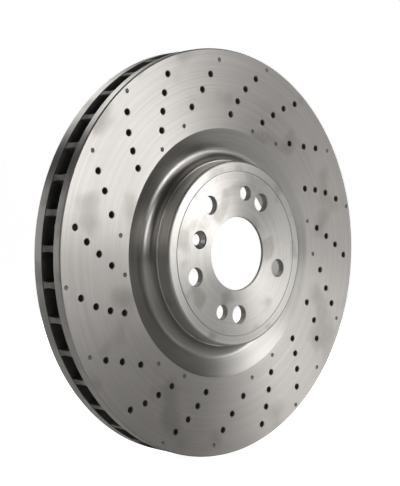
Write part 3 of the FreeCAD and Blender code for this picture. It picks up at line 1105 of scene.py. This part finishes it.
class BRAKEDISC_OT_vanes(bpy.types.Operator):
    """Build the cast cooling vanes between the two plates"""

    bl_idname = "brake_disc.vanes"
    bl_label = "Cooling vanes"

    def execute(self, context):
        s = context.scene.brake_disc_sizes
        holes = drilled_places()[0]
        reach = s.vane_flare / 2 + s.drill_radius
        for index, node in enumerate(VANE_NODES):
            angle = s.first_vane_angle + 360.0 / len(VANE_NODES) * index
            bm = vane_bmesh(s, angle)
            mesh = bpy.data.meshes.new("vane")
            bm.to_mesh(mesh)
            bm.free()
            for finish in (cast_iron_with_vent_shade(), vane_tip_iron_painted_lit()):
                mesh.materials.append(finish)
            beside = []
            for radius, hole_angle in holes:
                turn = math.radians(hole_angle - angle)
                if abs(math.sin(turn)) * radius < reach and math.cos(turn) > 0:
                    beside.append((radius, hole_angle))
            if beside:
                mesh = drilled_through(mesh, beside, s)
            mesh.shade_smooth()
            mesh.set_sharp_from_angle(angle=math.radians(38))
            placed("vane_%02d" % (index + 1), mesh, "cast_vane", node)
        return {"FINISHED"}


class BRAKEDISC_OT_stage(bpy.types.Operator):
    """Build the floor, the soft light and the camera"""

    bl_idname = "brake_disc.stage"
    bl_label = "Studio stage"

    def execute(self, context):
        scene = context.scene
        stage = scene.brake_disc_stage
        bm = bmesh.new()
        rows = [(-6.0, 0.0), (2.0, 0.0)]
        for step in range(1, 13):
            turn = math.radians(90.0 * step / 12)
            rows.append((2.0 + 1.5 * math.sin(turn), 1.5 * (1 - math.cos(turn))))
        rows.append((3.5, 6.0))
        ahead = Vector(stage.camera_aim)
        ahead.z = 0.0
        ahead.normalize()
        side = Vector((ahead.y, -ahead.x, 0.0))
        edges = []
        for along, height in rows:
            middle = ahead * along + Vector((0.0, 0.0, height - OUTER_RADIUS))
            edges.append((bm.verts.new(middle - side * 6.0), bm.verts.new(middle + side * 6.0)))
        for first, second in zip(edges, edges[1:]):
            bm.faces.new((first[0], first[1], second[1], second[0]))
        floor_mesh = bpy.data.meshes.new("studio_floor")
        bm.to_mesh(floor_mesh)
        bm.free()
        floor_mesh.shade_smooth()
        floor_mesh.materials.append(studio_paper())
        floor = bpy.data.objects.new("studio_floor", floor_mesh)
        scene.collection.objects.link(floor)

        for name, bearing, height, distance, size, power in SOFTBOXES:
            light = bpy.data.lights.new(name, "AREA")
            light.shape = "SQUARE"
            light.size, light.energy = size, power
            across, up = math.radians(bearing), math.radians(height)
            place = distance * Vector((math.sin(across) * math.cos(up), -math.cos(across) * math.cos(up), math.sin(up)))
            lamp = bpy.data.objects.new(name, light)
            scene.collection.objects.link(lamp)
            lamp.location = place
            lamp.rotation_euler = (-place).to_track_quat("-Z", "Y").to_euler()
            lamp.visible_camera = False

        world = bpy.data.worlds.new("Studio air")
        world.use_nodes = True
        scene.world = world
        air = world.node_tree.nodes["Background"]
        air.inputs["Color"].default_value = (1.0, 1.0, 1.0, 1.0)
        rays = add_node(world.node_tree, "ShaderNodeLightPath")
        feed(
            world.node_tree,
            air.inputs["Strength"],
            spread(world.node_tree, rays.outputs["Is Camera Ray"], 0.0, 1.0, stage.fill_light, 1.0),
        )

        lens = bpy.data.cameras.new("camera")
        lens.lens, lens.sensor_width = stage.lens, 36.0
        lens.clip_start, lens.clip_end = 0.01, 50.0
        camera = bpy.data.objects.new("camera", lens)
        scene.collection.objects.link(camera)
        aim = Vector(stage.camera_aim).normalized()
        up = Vector(stage.camera_side).cross(aim).normalized()
        right = aim.cross(up)
        facing = Matrix((right, up, -aim)).transposed()
        camera.matrix_world = Matrix.Translation(stage.camera_place) @ facing.to_4x4()
        scene.camera = camera
        scene.view_settings.view_transform = "Standard"
        scene.view_settings.look = "None"
        return {"FINISHED"}


class BRAKEDISC_PT_panel(bpy.types.Panel):
    """Steps that build the brake disc"""

    bl_idname = "BRAKEDISC_PT_panel"
    bl_label = "Brake disc"
    bl_space_type = "VIEW_3D"
    bl_region_type = "UI"
    bl_category = "Brake disc"

    def draw(self, context):
        column = self.layout.column()
        for step in STEPS:
            column.operator(step.bl_idname)
        for settings in (
            context.scene.brake_disc_sizes,
            context.scene.brake_disc_finish,
            context.scene.brake_disc_stage,
        ):
            box = self.layout.box()
            for name in settings.__annotations__:
                box.prop(settings, name)


STEPS = (
    BRAKEDISC_OT_outboard_ring,
    BRAKEDISC_OT_inboard_ring,
    BRAKEDISC_OT_neck,
    BRAKEDISC_OT_hat_drum,
    BRAKEDISC_OT_flange,
    BRAKEDISC_OT_vanes,
    BRAKEDISC_OT_stage,
)
CLASSES = (BrakeDiscSizes, BrakeDiscFinish, BrakeDiscStage) + STEPS + (BRAKEDISC_PT_panel,)


def register():
    for each in CLASSES:
        bpy.utils.register_class(each)
    bpy.types.Scene.brake_disc_sizes = PointerProperty(type=BrakeDiscSizes)
    bpy.types.Scene.brake_disc_finish = PointerProperty(type=BrakeDiscFinish)
    bpy.types.Scene.brake_disc_stage = PointerProperty(type=BrakeDiscStage)


def unregister():
    del bpy.types.Scene.brake_disc_stage
    del bpy.types.Scene.brake_disc_finish
    del bpy.types.Scene.brake_disc_sizes
    for each in reversed(CLASSES):
        bpy.utils.unregister_class(each)


def main():
    register()
    bpy.ops.brake_disc.outboard_ring()
    bpy.ops.brake_disc.inboard_ring()
    bpy.ops.brake_disc.neck()
    bpy.ops.brake_disc.hat_drum()
    bpy.ops.brake_disc.flange()
    bpy.ops.brake_disc.vanes()
    bpy.ops.brake_disc.stage()


if __name__ == "__main__":
    main()
